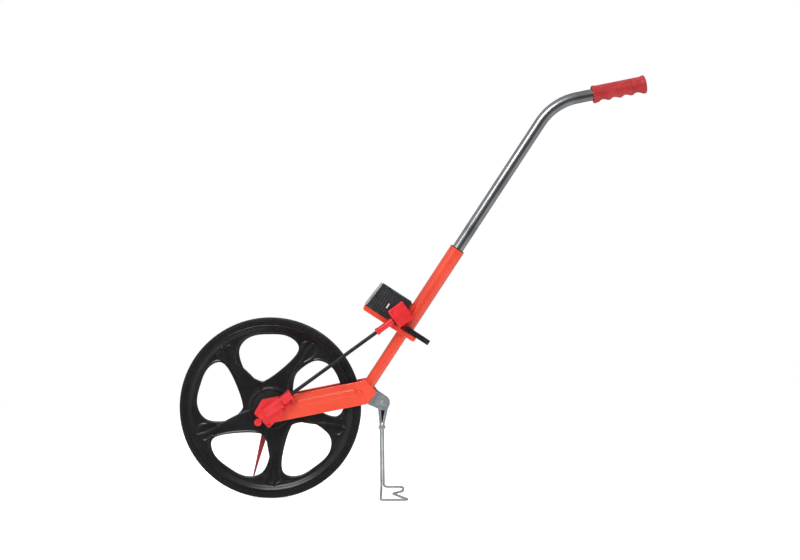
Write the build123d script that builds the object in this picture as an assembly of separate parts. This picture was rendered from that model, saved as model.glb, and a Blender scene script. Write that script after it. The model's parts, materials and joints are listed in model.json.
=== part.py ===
from build123d import *
import os
from math import atan, cos, degrees, pi, radians, sin, sqrt, tan

# Measuring wheel with a pressed fork, geared counter, sliding handle and folding wire stand.
# Millimetres. +Z is up, +X points back to the handle, -Y is the side that carries the gearboxes.
# The origin is where the tyre touches the ground, on the wheel's middle plane.

# ---- driving dimensions -------------------------------------------------------------------
CIRCUMFERENCE = 1000.0
TYRE_R = CIRCUMFERENCE / (2 * pi)
AXLE_Z = TYRE_R
TYRE_SEAT_R = 147.6
TYRE_HALF = 11.0
GROOVE_R = 144.6             # the tyre's tongue sits in a groove of the rim
GROOVE_MOUTH = 3.2           # half widths of the groove
GROOVE_FLOOR = 2.2
RIM_HALF = 10.5
WEB_HALF = 4.5
LIP_HALF = 5.9
RIB_HALF = 7.5
HUB_R = 14.5
HUB_HALF = 14.0
AXLE_R = 5.0
SPOKES = 5
PIN_R = 1.5                  # the axle's cross pin, the idler's pin and the counter's screws
PAST = 20.0                  # a cut this far from the middle plane is past both faces of the wheel

RUN_GAP = 0.05               # radial running clearance of every shaft in its bush

ARM_ANGLE = 11.2
ARM_INNER = 16.0
ARM_OUTER = 18.0
ARM_TOP = 17.7
ARM_BOTTOM = -24.3
ARM_MID = (ARM_TOP + ARM_BOTTOM) / 2
ARM_RIM = 2.0                # how far its edges turn in
ARM_BORE = 7.0               # for the axle's bush
BUSH_END = 14.8              # distance of the bush's inner end from the middle plane
ARM_RIB = (101.0, 0.4)       # middle of the raised rib, along and across the arm
ARM_RIVET = (159.9, -2.7)
RIVET_R = 2.4

POINTER_ANGLE = -104.7
POINTER_THICK = 1.5
POINTER_RIVET_AT = -10.6     # along the needle, from the axle
POINTER_RIVET_R = 1.5

TUBE_ANGLE = 56.9
TUBE_FOOT = (228.6, 286.3)   # X, Z of the tube frame's origin, just below the counter
TUBE_R = 10.0
TUBE_WALL = 1.4
TUBE_BOTTOM = -112.0
SLEEVE_R = 13.35
SLEEVE_WALL = 2.0
SLEEVE_START = 12.4
SLEEVE_END = 180.7
BEND_AT = 484.9
BEND_R = 98.0
HANDLE_ANGLE = 11.3
HANDLE_START = 125.0
HANDLE_LENGTH = 158.0
HANDLE_BORE = 8.8
GRIP_START = 69.0
GRIP_END = 162.4
GRIP_R = 14.6
GRIP_COLLAR = 5.0            # length of the collar at each end
SCALLOPS = 4
SCALLOP_STEP = 20.0

ROD_ANGLE = 36.07
ROD_Y = -29.0
ROD_R = 3.25
SHAFT_R = 2.5                # the rod's upper end and the counter's input shaft
GEARBOX_R = 25.5
GEARBOX_FACE = -32.5
GEARBOX_FLANGE = -27.0       # its lugs, under the screws' heads
GEARBOX_ROOM = 18.6
GEARBOX_WALL = -17.0         # the room's far end
BARREL_R = 11.6
BARREL_END = 27.0
COLLAR_R = 8.4
COLLAR_END = 49.0
LOWER_BUSH_R = 5.2
UPPER_BUSH_R = 4.4
LUG_SCREW_R = 1.8
LUG_SCREW_HEAD = 2.9
NUB_ANGLE = 228.0            # direction of the front lug, seen from the axle
GEARBOX_FLATS = ((150.0, 20.0), (101.0, 20.2), (232.0, 20.6), (-52.0, 21.5))   # angle, distance from the axle
UPPER_APEX = 277.5           # along the rod, from the axle to the counter's input axis
HOUSING_MID = 283.3
HOUSING_HALF = 15.5
HOUSING_NEAR = -39.0
HOUSING_COLLAR = 231.0       # where its collar starts, along the rod
HOUSING_SCREW_R = 1.6

COUNTER_HALF = 20.0
COUNTER_BASE = 12.4
COUNTER_TOP = 60.0
COUNTER_FRONT = -80.0        # across the tube, at the foot of the case
COUNTER_BACK = -16.0
COUNTER_LEAN = 4.0           # how far the front leans back over the case's height
CASE_WALL = 2.0
WINDOW_SIDES = (-60.0, -32.0)
WINDOW_NEAR = -17.5          # the window's two ends
WINDOW_FAR = 15.0
PLATE_BOTTOM = 4.0
SCREW_SEAT = 5.4             # along the tube, under the case screws' heads
DRUM_AIM = (-46.0, 42.0)     # the gear line points here, across and along the tube
INPUT_TEETH = 10
IDLER_TEETH = 18
DRUM_TEETH = 20
DRUM_R = 14.5
DRUM_PITCH = 5.8
DRUM_START = 11.4
DRUMS = 5
DRUM_SHAFT_R = 2.0
SPUR_MODULE = 0.8
GEAR_NEAR = 13.2             # the two faces of the counter's spur gears
GEAR_FAR = 17.2

LEVER_PIVOT = (1.5, 17.5)
LEVER_END = 47.0
LEVER_HALF = 4.5
LEVER_PIN_R = 2.0
LEVER_NEAR = -22.5
LEVER_FAR = -16.5

STAND_PIVOT = (197.5, 168.0)
BRACKET_ROOT = (17.3, 19.5)  # its folded back, across the tube, on the fork's rear edge
BRACKET_GAP = 7.0            # half the width between its ears
BRACKET_OUTER = 9.0
BOLT_R = 3.0
WIRE_R = 2.0
FOOT_NEAR = -27.0
FOOT_FAR = 78.0

os.makedirs("parts", exist_ok=True)


# ---- frames and helpers -------------------------------------------------------------------
def side_plane(angle, x, z, y):
    """A plane facing the gear side, turned by angle, with its origin at (x, y, z)."""
    turned = (cos(radians(angle)), 0, sin(radians(angle)))
    return Plane(origin=(x, y, z), x_dir=turned, z_dir=(0, -1, 0))


def slab(sketch, y_low, y_high, angle=0.0, x=0.0, z=0.0):
    """A side outline made solid between two Y values."""
    return extrude(side_plane(angle, x, z, y_high) * sketch, amount=y_high - y_low, dir=(0, -1, 0))


def arm_slab(sketch, y_low, y_high):
    return slab(sketch, y_low, y_high, ARM_ANGLE, 0, AXLE_Z)


def rod_slab(sketch, y_low, y_high):
    return slab(sketch, y_low, y_high, ROD_ANGLE, 0, AXLE_Z)


def tube_slab(sketch, y_low, y_high):
    """Outline given as (across the tube, along the tube)."""
    return slab(sketch, y_low, y_high, TUBE_ANGLE - 90, TUBE_FOOT[0], TUBE_FOOT[1])


def tube_point(across, along, y=0.0):
    a = radians(TUBE_ANGLE)
    x = TUBE_FOOT[0] + across * sin(a) + along * cos(a)
    z = TUBE_FOOT[1] - across * cos(a) + along * sin(a)
    return Vector(x, y, z)


def rod_point(along, y=ROD_Y):
    a = radians(ROD_ANGLE)
    return Vector(along * cos(a), y, AXLE_Z + along * sin(a))


def bar(start, end, radius, bore=0.0):
    """A round bar or tube between two points."""
    start, end = Vector(start), Vector(end)
    plane = Plane(origin=start, z_dir=(end - start).normalized())
    section = Circle(radius)
    if bore:
        section = section - Circle(bore)
    return extrude(plane * section, amount=(end - start).length)


def y_bar(x, z, y_low, y_high, radius, bore=0.0):
    return bar((x, y_low, z), (x, y_high, z), radius, bore)


def along_tube(low, high, radius, bore=0.0):
    return bar(tube_point(0, low), tube_point(0, high), radius, bore)


def along_rod(low, high, radius, bore=0.0):
    return bar(rod_point(low), rod_point(high), radius, bore)


def spun(profile):
    """A closed (radius, y) outline turned about the axle."""
    return Pos(0, 0, AXLE_Z) * revolve(Polygon(*profile, align=None), Axis.Y)


def box_at(low_across, high_across, low_along, high_along):
    """A rectangle by its four sides."""
    middle = Pos((low_across + high_across) / 2, (low_along + high_along) / 2)
    return middle * Rectangle(high_across - low_across, high_along - low_along)


def screw(x, z, y_head, y_tip, shank, head, height):
    """A pan-head screw along Y, with a crossed recess in its head."""
    out = -1 if y_head < y_tip else 1
    body = y_bar(x, z, min(y_head, y_tip), max(y_head, y_tip), shank)
    top = y_head + out * height
    cap = y_bar(x, z, min(y_head, top), max(y_head, top), head)
    rim = cap.edges().filter_by(GeomType.CIRCLE).sort_by(Axis.Y)
    cap = fillet(rim[-1] if out > 0 else rim[0], height * 0.6)
    cross = Rectangle(head * 1.1, 0.8) + Rectangle(0.8, head * 1.1)
    y_slot = sorted((top, top - out * height * 0.55))
    return body + cap - slab(cross, y_slot[0], y_slot[1], 0, x, z)


def save(name, shape):
    export_step(shape, f"parts/{name}.step")


# ---- gear teeth ---------------------------------------------------------------------------
def tooth_ring(teeth, pitch_r, root_r, tip_r, phase, thick=0.42):
    """Outline of a toothed disc: straight flanks, one tooth centred at the phase angle."""
    step = 2 * pi / teeth
    half = {root_r: thick * 0.66 * step, pitch_r: thick * 0.5 * step, tip_r: thick * 0.27 * step}
    points = []
    for tooth in range(teeth):
        middle = radians(phase) + tooth * step
        for radius, side in ((root_r, -1), (pitch_r, -1), (tip_r, -1), (tip_r, 1), (pitch_r, 1), (root_r, 1)):
            angle = middle + side * half[radius]
            points.append((radius * cos(angle), radius * sin(angle)))
    return Polygon(*points, align=None)


def bevel_gear(plane_at, module, teeth, mate_teeth, keep, phase, hub, hub_r, bore):
    """A straight bevel gear. plane_at(h) is the plane at height h from the cones' shared apex."""
    pitch_r = module * teeth / 2
    height = module * mate_teeth / 2
    cone = sqrt(pitch_r**2 + height**2)
    angle = atan(pitch_r / height)
    tip_r = height * tan(angle + atan(0.8 * module / cone))
    root_r = height * tan(angle - atan(1.15 * module / cone))
    outline = tooth_ring(teeth, pitch_r, root_r, tip_r, phase)
    inner = scale(outline, by=keep)
    ring = loft([plane_at(height) * outline, plane_at(height * keep) * inner])
    back = extrude(plane_at(height) * Circle(hub_r), amount=hub)
    hole = extrude(plane_at(height * keep - 1) * Circle(bore), amount=height + hub + 5)
    return ring + back - hole


def spur_gear(centre, teeth, phase, bore):
    pitch_r = SPUR_MODULE * teeth / 2
    root_r, tip_r = pitch_r - SPUR_MODULE * 1.1, pitch_r + SPUR_MODULE * 0.75
    outline = tooth_ring(teeth, pitch_r, root_r, tip_r, phase, 0.38)
    return tube_slab(Pos(centre.X, centre.Y) * (outline - Circle(bore)), GEAR_NEAR, GEAR_FAR)


# ---- wheel --------------------------------------------------------------------------------
def make_tyre():
    half = [(TYRE_SEAT_R, 9.8), (149.0, 10.8), (151.5, TYRE_HALF), (155.8, 10.6), (158.2, 9.0), (TYRE_R, 6.0)]
    tongue = [(TYRE_SEAT_R, -GROOVE_MOUTH), (GROOVE_R, -GROOVE_FLOOR), (GROOVE_R, GROOVE_FLOOR)]
    tongue += [(TYRE_SEAT_R, GROOVE_MOUTH)]
    profile = tongue + half + [(r, -y) for r, y in reversed(half)]
    save("tyre", spun(profile))


def hole_outline(grow=0.0):
    """One window of the wheel, as a closed curve: leaning, narrow at the hub and wide at the rim."""
    marks = [
        (0.305, 103.0), (0.345, 88.0), (0.45, 73.8), (0.60, 65.6), (0.745, 65.0), (0.812, 74.0),
        (0.817, 90.0), (0.812, 106.5), (0.735, 117.6), (0.60, 122.8), (0.455, 124.4), (0.34, 115.0),
    ]
    points = [Vector(f * TYRE_R * cos(radians(a)), f * TYRE_R * sin(radians(a))) for f, a in marks]
    middle = sum(points, Vector(0, 0)) / len(points)
    points = [p + (p - middle).normalized() * grow for p in points]
    return make_face(Spline(*points, periodic=True))


def rib_outline():
    """A rib that leaves the hub, follows one side of a spoke and swings into the rim."""
    marks = [(0.16, 38.0), (0.34, 48.0), (0.55, 54.0), (0.72, 57.0), (0.86, 56.0)]
    points = [(f * TYRE_R * cos(radians(a)), f * TYRE_R * sin(radians(a))) for f, a in marks]
    return trace(Spline(*points), 3.2)


def make_wheel():
    half = [
        (AXLE_R, HUB_HALF), (HUB_R, HUB_HALF), (17.5, 9.0), (27.0, 7.5), (40.0, WEB_HALF),
        (130.0, WEB_HALF), (137.0, 5.6), (142.0, 9.4), (144.0, RIM_HALF), (TYRE_SEAT_R - 0.6, RIM_HALF),
        (TYRE_SEAT_R, 9.8), (TYRE_SEAT_R, GROOVE_MOUTH), (GROOVE_R, GROOVE_FLOOR),
    ]
    wheel = spun(half + [(r, -y) for r, y in reversed(half)])
    window = hole_outline()
    lip = hole_outline(3.2) - window
    for turn in range(SPOKES):
        turned = Rot(0, 0, turn * 360 / SPOKES)
        wheel -= slab(turned * window, -PAST, PAST, 0, 0, AXLE_Z)
        wheel += slab(turned * lip, -LIP_HALF, LIP_HALF, 0, 0, AXLE_Z)
        rib = slab(turned * rib_outline(), -RIB_HALF, RIB_HALF, 0, 0, AXLE_Z)
        wheel += rib - slab(turned * window, -PAST, PAST, 0, 0, AXLE_Z)
    wheel -= y_bar(0, AXLE_Z, -PAST, PAST, AXLE_R)
    wheel -= bar((0, 0, AXLE_Z - 30), (0, 0, AXLE_Z + 30), PIN_R)
    save("wheel", wheel)


def make_axle():
    axle = y_bar(0, AXLE_Z, -26.0, 28.0, AXLE_R)
    axle = chamfer(axle.edges().filter_by(GeomType.CIRCLE), 0.6)
    axle -= y_bar(0, AXLE_Z, -25.1, -24.1, AXLE_R + 1, AXLE_R - 0.6)
    axle -= bar((0, 0, AXLE_Z - 12), (0, 0, AXLE_Z + 12), PIN_R)
    save("axle", axle)
    save("axle_cross_pin", bar((0, 0, AXLE_Z - 12.5), (0, 0, AXLE_Z + 12.5), PIN_R))
    clip = y_bar(0, AXLE_Z, -25.0, -24.2, 7.4, AXLE_R - 0.5)
    mouth = slab(Pos(0, -6) * Rectangle(5, 9), -26, -23, 0, 0, AXLE_Z)
    save("axle_circlip", clip - mouth)
    save("axle_end_washer", y_bar(0, AXLE_Z, 20.3, 21.6, 9.5, AXLE_R))
    nut = slab(RegularPolygon(8.6, 6) - Circle(AXLE_R), 21.6, 26.6, 0, 0, AXLE_Z)
    dome = spun([(0, 21.6), (9.2, 21.6), (9.2, 24.8), (7.2, 26.6), (0, 26.6)])
    save("axle_end_nut", nut & dome)


# ---- hub gears ----------------------------------------------------------------------------
def axle_plane(height):
    """Facing the wheel from the lower apex, local x along the rod."""
    turned = (cos(radians(ROD_ANGLE)), 0, sin(radians(ROD_ANGLE)))
    return Plane(origin=(0, ROD_Y + height, AXLE_Z), x_dir=turned, z_dir=(0, 1, 0))


def input_plane(height):
    """Facing the counter from the upper apex, local x along the rod."""
    origin = rod_point(UPPER_APEX, ROD_Y + height)
    turned = (cos(radians(ROD_ANGLE)), 0, sin(radians(ROD_ANGLE)))
    return Plane(origin=origin, x_dir=turned, z_dir=(0, 1, 0))


def lower_pinion_plane(height):
    """Up the rod from the lower apex, local x towards the wheel."""
    turned = (cos(radians(ROD_ANGLE)), 0, sin(radians(ROD_ANGLE)))
    return Plane(origin=rod_point(height), x_dir=(0, 1, 0), z_dir=turned)


def upper_pinion_plane(height):
    turned = (cos(radians(ROD_ANGLE)), 0, sin(radians(ROD_ANGLE)))
    return Plane(origin=rod_point(UPPER_APEX + height), x_dir=(0, 1, 0), z_dir=turned)


def make_bevel_gears():
    save("hub_bevel_gear", bevel_gear(axle_plane, 1.0, 32, 16, 0.73, 0, 1.6, 13.4, AXLE_R))
    save("lower_pinion", bevel_gear(lower_pinion_plane, 1.0, 16, 32, 0.73, 11.25, 6.0, 5.4, ROD_R))
    save("upper_pinion", bevel_gear(upper_pinion_plane, 0.8, 16, 16, 0.7, 11.25, 5.0, 4.6, SHAFT_R))
    save("input_bevel_gear", bevel_gear(input_plane, 0.8, 16, 16, 0.7, 0, 1.6, 5.0, SHAFT_R))


def make_rod():
    step = UPPER_APEX - 7
    save("drive_rod", along_rod(11.6, step, ROD_R) + along_rod(step, UPPER_APEX + 12, SHAFT_R))
    save("rod_lower_bush", along_rod(28.0, 47.0, LOWER_BUSH_R, ROD_R + RUN_GAP))
    save("rod_upper_bush", along_rod(236.0, 258.0, UPPER_BUSH_R, ROD_R + RUN_GAP))


def make_hub_gearbox():
    """The crimson casting over the hub gears: a drum with four flats, the rod's barrel and three lugs."""
    edge = GEARBOX_FACE + 2
    profile = [(0, -ARM_OUTER), (GEARBOX_R, -ARM_OUTER), (GEARBOX_R, edge), (GEARBOX_R - 2, GEARBOX_FACE)]
    drum = spun(profile + [(0, GEARBOX_FACE)])
    for angle, reach in GEARBOX_FLATS:
        drum -= slab(Rot(0, 0, angle) * Pos(reach + 20, 0) * Rectangle(40, 80), -40, -10, 0, 0, AXLE_Z)
    shell = drum + along_rod(-9.0, BARREL_END, BARREL_R) + along_rod(BARREL_END, COLLAR_END, COLLAR_R)
    shell += along_rod(COLLAR_END - 4.5, COLLAR_END, COLLAR_R + 1)
    lug, nub, ear = gearbox_screw_places()
    square = Rot(0, 0, 45) * RectangleRounded(16.5, 16.5, 2.5)
    shell += slab(square, GEARBOX_FLANGE, -ARM_OUTER, 0, lug[0], lug[1] + 6.2)
    shell += slab(Circle(6.4), GEARBOX_FLANGE, -ARM_OUTER, 0, nub[0], nub[1])
    neck = Rot(0, 0, NUB_ANGLE) * Pos(22, 0) * Rectangle(14, 7)
    shell += slab(neck, GEARBOX_FLANGE, -ARM_OUTER, 0, 0, AXLE_Z)
    shell += slab(Circle(5.6), GEARBOX_FLANGE, -ARM_OUTER, 0, ear[0], ear[1])
    shell += rod_slab(box_at(24, 40, -13, -4), -24.0, -ARM_OUTER)
    shell += rod_slab(box_at(10, 46, -3, 3), -28.0, -ARM_OUTER)
    room = spun([(0, GEARBOX_WALL), (GEARBOX_ROOM, GEARBOX_WALL), (GEARBOX_ROOM, -30.0), (0, -30.0)])
    room += along_rod(-6.5, 24.5, 9.6)
    shell = shell - room - along_rod(20, 60, LOWER_BUSH_R) - rod_slab(box_at(-40, 80, -60, 60), -ARM_OUTER, 0)
    for x, z in gearbox_screw_places():
        shell -= y_bar(x, z, -28, GEARBOX_WALL, LUG_SCREW_R)
        shell -= y_bar(x, z, -40, GEARBOX_FLANGE, LUG_SCREW_HEAD + 0.5)
    save("hub_gearbox", shell)
    screws = [
        screw(x, z, GEARBOX_FLANGE, -14.6, LUG_SCREW_R, LUG_SCREW_HEAD, 1.8)
        for x, z in gearbox_screw_places()
    ]
    save("gearbox_screws", Compound(children=screws))


def gearbox_screw_places():
    """The lug under the axle, the nub in front of it and the ear beside the barrel."""
    a = radians(ROD_ANGLE)
    ear = (33 * cos(a) + 13 * sin(a), AXLE_Z + 33 * sin(a) - 13 * cos(a))
    return [(-0.6, 132.8), (-19.6, 137.4), ear]


# ---- fork ---------------------------------------------------------------------------------
def arm_body(inset, y_low, y_high):
    """The arm's side shape, drawn in by inset: round at the axle, cut off square to the tube."""
    top, bottom = ARM_TOP, ARM_BOTTOM
    rear = Polygon((-5, top), (174.8, top), (189.8, -6.4), (169.6, bottom), (-5, bottom), align=None)
    rear = fillet(rear.vertices().sort_by(Axis.X)[-3:], 4.0)
    if inset:
        rear = offset(rear, amount=-inset)
    front = Pos(0, ARM_MID) * Circle((ARM_TOP - ARM_BOTTOM) / 2 - inset)
    blade = arm_slab(rear, y_low, y_high) - arm_slab(box_at(-40, 0, -60, 60), y_low - 1, y_high + 1)
    return blade + arm_slab(front, y_low, y_high)


def make_arm():
    """The gear-side arm: a shallow pan with turned-in edges and one long raised rib."""
    pan = arm_body(0, -ARM_OUTER, -ARM_INNER + ARM_RIM)
    hollow = arm_body(ARM_RIM, -ARM_INNER, 0)
    open_ends = arm_slab(box_at(146, 200, -40, 40), -ARM_INNER, 0)
    arm = fillet(pan.faces().sort_by(Axis.Y)[0].edges(), 1.4) - hollow - open_ends
    rib = arm_slab(Pos(*ARM_RIB) * SlotOverall(108, 12), -ARM_OUTER - 2.4, -ARM_OUTER)
    rib = fillet(rib.faces().sort_by(Axis.Y)[0].edges(), 2.3)
    arm = arm + rib - arm_slab(Pos(*ARM_RIB) * SlotOverall(103, 7), -ARM_OUTER - 0.6, 0)
    arm -= y_bar(0, AXLE_Z, -30, 0, ARM_BORE)
    return arm - arm_slab(Pos(*ARM_RIVET) * Circle(RIVET_R), -30, 0)


def make_fork():
    arm = make_arm()
    x, z = pointer_rivet_place()
    save("far_arm", mirror(arm, about=Plane.XZ) - y_bar(x, z, 0, 40, POINTER_RIVET_R))
    for x, z in gearbox_screw_places():
        arm -= y_bar(x, z, -30, 0, LUG_SCREW_R)
    save("near_arm", arm)
    block = tube_slab(box_at(-14, BRACKET_ROOT[0], -131, -100), -ARM_INNER, ARM_INNER)
    block = (block & arm_body(0.6, -40, 40)) - y_bar(0, AXLE_Z, -40, 40, TYRE_R + 4)
    block -= arm_slab(Pos(*ARM_RIVET) * Circle(4.3), -ARM_INNER + 2, ARM_INNER - 2)
    block -= along_tube(TUBE_BOTTOM, 0, TUBE_R)
    tab = arm_slab(box_at(150, 176, -13, 8), -ARM_INNER, -ARM_INNER + 2)
    tabs = tab + mirror(tab, about=Plane.XZ)
    hole = arm_slab(Pos(*ARM_RIVET) * Circle(RIVET_R), -40, 40)
    save("fork_bridge", block + (tabs - along_tube(TUBE_BOTTOM, 0, TUBE_R)) - hole)


def make_fork_fittings():
    rivet = arm_slab(Pos(*ARM_RIVET) * Circle(RIVET_R), -ARM_OUTER, -14.0)
    head = arm_slab(Pos(*ARM_RIVET) * Circle(4.4), -ARM_OUTER - 1.7, -ARM_OUTER)
    head = fillet(head.faces().sort_by(Axis.Y)[0].edges(), 1.5)
    rivet = rivet + head + arm_slab(Pos(*ARM_RIVET) * Circle(4.0), -14.0, -12.9)
    save("arm_rivets", Compound(children=[rivet, mirror(rivet, about=Plane.XZ)]))
    bush = y_bar(0, AXLE_Z, -ARM_OUTER, -BUSH_END, ARM_BORE, AXLE_R + RUN_GAP)
    bush += y_bar(0, AXLE_Z, -ARM_INNER, -BUSH_END, ARM_BORE + 3.5, AXLE_R + RUN_GAP)
    save("near_axle_bush", bush)
    save("far_axle_bush", mirror(bush, about=Plane.XZ))


def pointer_rivet_place():
    a = radians(POINTER_ANGLE)
    return POINTER_RIVET_AT * cos(a), AXLE_Z + POINTER_RIVET_AT * sin(a)


def make_pointer():
    """A flat needle on the far arm that shows where on the rim a measured length starts."""
    needle = Polygon((11, 7.5), (142, 0.5), (142, -0.5), (11, -7.5), align=None)
    x, z = pointer_rivet_place()
    low, high = ARM_OUTER, ARM_OUTER + POINTER_THICK
    flat = slab(Rot(0, 0, POINTER_ANGLE) * needle, low, high, 0, 0, AXLE_Z)
    flat = flat + y_bar(0, AXLE_Z, low, high, 13.8) - y_bar(0, AXLE_Z, low - 1, high + 1, 7.4)
    save("pointer", flat - y_bar(x, z, 0, 40, POINTER_RIVET_R))
    head = y_bar(x, z, high, high + 0.6, 2.6)
    save("pointer_rivet", y_bar(x, z, ARM_INNER, high, POINTER_RIVET_R) + head)


# ---- tubes and handle ---------------------------------------------------------------------
def handle_point(along, y=0.0):
    corner = tube_point(0, BEND_AT)
    a = radians(HANDLE_ANGLE)
    return Vector(corner.X + along * cos(a), y, corner.Z + along * sin(a))


def make_tubes():
    save("lower_tube", along_tube(TUBE_BOTTOM, 40.0, TUBE_R, TUBE_R - TUBE_WALL))
    save("sleeve", along_tube(SLEEVE_START, SLEEVE_END, SLEEVE_R, SLEEVE_R - SLEEVE_WALL))
    save("sleeve_spacer", along_tube(SLEEVE_START, 40.0, SLEEVE_R - SLEEVE_WALL, TUBE_R))
    liner = along_tube(118.0, SLEEVE_END + 1.6, SLEEVE_R - SLEEVE_WALL, TUBE_R + 0.06)
    liner += along_tube(SLEEVE_END, SLEEVE_END + 1.6, SLEEVE_R - 0.4, TUBE_R + 0.06)
    save("sleeve_liner", liner)


def make_handle():
    corners = tube_point(0, HANDLE_START), tube_point(0, BEND_AT), handle_point(HANDLE_LENGTH)
    route = FilletPolyline(*corners, radius=BEND_R)
    start = Plane(origin=route @ 0, z_dir=route % 0)
    tube = sweep(start * Circle(TUBE_R), path=route) - sweep(start * Circle(HANDLE_BORE), path=route)
    save("handle_tube", tube)
    plug = along_tube(HANDLE_START, HANDLE_START + 16, HANDLE_BORE)
    plug += along_tube(HANDLE_START - 3, HANDLE_START, TUBE_R)
    save("handle_end_plug", plug)


def make_grip():
    """A straight-backed grip with four finger scallops underneath and a collar at each end."""
    grip = bar(handle_point(GRIP_START), handle_point(GRIP_END), GRIP_R)
    grip += bar(handle_point(GRIP_START), handle_point(GRIP_START + GRIP_COLLAR), GRIP_R + 1.0)
    grip += bar(handle_point(GRIP_END - GRIP_COLLAR), handle_point(GRIP_END), GRIP_R + 1.6)
    origin = handle_point(GRIP_START)
    for finger in range(SCALLOPS):
        place = Pos(17.5 + finger * SCALLOP_STEP, -GRIP_R - 8.0) * Circle(11.5)
        grip -= slab(place, -30, 30, HANDLE_ANGLE, origin.X, origin.Z)
    grip -= bar(handle_point(GRIP_START - 5), handle_point(HANDLE_LENGTH), TUBE_R)
    save("grip", grip)


# ---- counter ------------------------------------------------------------------------------
def front_at(along):
    """How far across the tube the counter's sloping front is, at a distance along it."""
    return COUNTER_FRONT + COUNTER_LEAN * (along - COUNTER_BASE) / (COUNTER_TOP - COUNTER_BASE)


def counter_outline(wall, low):
    """The case's side shape, drawn in by wall and cut off at low."""
    top, back = COUNTER_TOP - wall, COUNTER_BACK - wall * 0.75
    front, brow = COUNTER_FRONT + wall, COUNTER_FRONT + COUNTER_LEAN + wall
    return Polygon((front, low), (back, low), (back, top), (brow, top), align=None)


def make_counter_shell():
    """The black case, hollow and open below, with louvre grooves, screw posts and shaft bores."""
    case = tube_slab(counter_outline(0, COUNTER_BASE), -COUNTER_HALF, COUNTER_HALF)
    case -= tube_slab(counter_outline(CASE_WALL, 0), -COUNTER_HALF + CASE_WALL, COUNTER_HALF - CASE_WALL)
    case -= tube_slab(box_at(*WINDOW_SIDES, 50, 70), WINDOW_NEAR, WINDOW_FAR)
    for groove in range(5):
        low = -72 + groove * 5.2
        cut = tube_slab(box_at(low, low + 2.0, 20, 54), -COUNTER_HALF, -COUNTER_HALF + 0.8)
        case = case - cut - mirror(cut, about=Plane.XZ)
    for across, y in counter_screw_places():
        case += bar(tube_point(across, COUNTER_BASE, y), tube_point(across, 21, y), 3.4)
        case -= bar(tube_point(across, COUNTER_BASE - 1, y), tube_point(across, 20, y), PIN_R)
    at = rod_point(UPPER_APEX)
    case -= y_bar(at.X, at.Z, -30, 19, SHAFT_R + RUN_GAP)
    drum = tube_point(*drum_centre())
    case -= y_bar(drum.X, drum.Z, -COUNTER_HALF + 0.2, COUNTER_HALF - 0.2, DRUM_SHAFT_R)
    for x, z in housing_screw_points():
        case -= y_bar(x, z, -30, 0, HOUSING_SCREW_R)
    save("counter_case", case)
    pane = box_at(*WINDOW_SIDES, COUNTER_TOP - CASE_WALL, COUNTER_TOP - 0.4)
    save("counter_window", tube_slab(pane, WINDOW_NEAR, WINDOW_FAR))


def make_bezel():
    """The bright cover on the sloping front, with four recessed panes."""
    low, high = 14.6, 58.0
    foot, brow = front_at(low), front_at(high)
    front = Polygon((foot - 3.8, low), (foot, low), (brow, high), (brow - 3.2, high + 1.4), align=None)
    bezel = tube_slab(front, -17.5, 17.5)
    recess = Polygon((-90, 24), (-81.6, 24), (-79.2, 52), (-90, 52), align=None)
    for pane in range(4):
        y = -13.5 + pane * 7.0
        bezel -= tube_slab(recess, y, y + 6.0)
    save("counter_bezel", bezel)


def counter_screw_places():
    return [(-73.2, -14.9), (-73.2, 14.9), (-20.8, -14.9), (-20.8, 9.0)]


def make_counter_plate():
    outline = box_at(COUNTER_FRONT - 2, 24, PLATE_BOTTOM, COUNTER_BASE)
    outline = fillet(outline.vertices().group_by(Axis.Y)[0], 3.8)
    plate = tube_slab(outline, -COUNTER_HALF, COUNTER_HALF)
    plate -= tube_slab(box_at(-76, -19, 0, 9.4), -COUNTER_HALF + 3, COUNTER_HALF - 3)
    plate -= along_tube(0, 30, TUBE_R)
    lug = tube_slab(box_at(-4, 8, COUNTER_BASE, 23.0), -16.0, -14.0)
    plate = plate + lug
    pin = tube_point(*LEVER_PIVOT)
    plate -= y_bar(pin.X, pin.Z, -30, 0, LEVER_PIN_R)
    plate -= along_tube(SLEEVE_START, 40, SLEEVE_R)
    for across, y in counter_screw_places():
        plate += bar(tube_point(across, SCREW_SEAT, y), tube_point(across, 10, y), 3.8)
        plate -= bar(tube_point(across, 0, y), tube_point(across, 20, y), PIN_R)
        plate -= bar(tube_point(across, 0, y), tube_point(across, SCREW_SEAT, y), 3.1)
    save("counter_plate", plate)
    saddle = tube_slab(box_at(-16, -7, 42, 58), -14.5, 14.5) - along_tube(30, 70, SLEEVE_R)
    save("counter_saddle", saddle)
    screws = []
    for across, y in counter_screw_places():
        shank = bar(tube_point(across, SCREW_SEAT, y), tube_point(across, 18, y), PIN_R)
        head = bar(tube_point(across, SCREW_SEAT - 1.5, y), tube_point(across, SCREW_SEAT, y), 2.9)
        screws.append(shank + head)
    save("counter_screws", Compound(children=screws))


def make_counter_train():
    """Input shaft, idler and drum gear. Their axes lie in one line, so the teeth fall in step."""
    at = rod_point(UPPER_APEX)
    start, way = train_line()
    line = degrees(atan(way.Y / way.X)) + 180
    idler = start + way * (SPUR_MODULE * (INPUT_TEETH + IDLER_TEETH) / 2)
    drums = Vector(*drum_centre())
    save("input_shaft", y_bar(at.X, at.Z, ROD_Y + 4.6, 18.6, SHAFT_R))
    save("input_spur_gear", spur_gear(start, INPUT_TEETH, line + 180 / INPUT_TEETH, SHAFT_R))
    save("idler_gear", spur_gear(idler, IDLER_TEETH, line, PIN_R + RUN_GAP))
    save("drum_spur_gear", spur_gear(drums, DRUM_TEETH, line + 180 / DRUM_TEETH, DRUM_SHAFT_R + RUN_GAP))
    pin = tube_point(idler.X, idler.Y)
    save("idler_pin", y_bar(pin.X, pin.Z, 12.0, 18.0, PIN_R) + y_bar(pin.X, pin.Z, 12.0, 12.9, 2.6))


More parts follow.
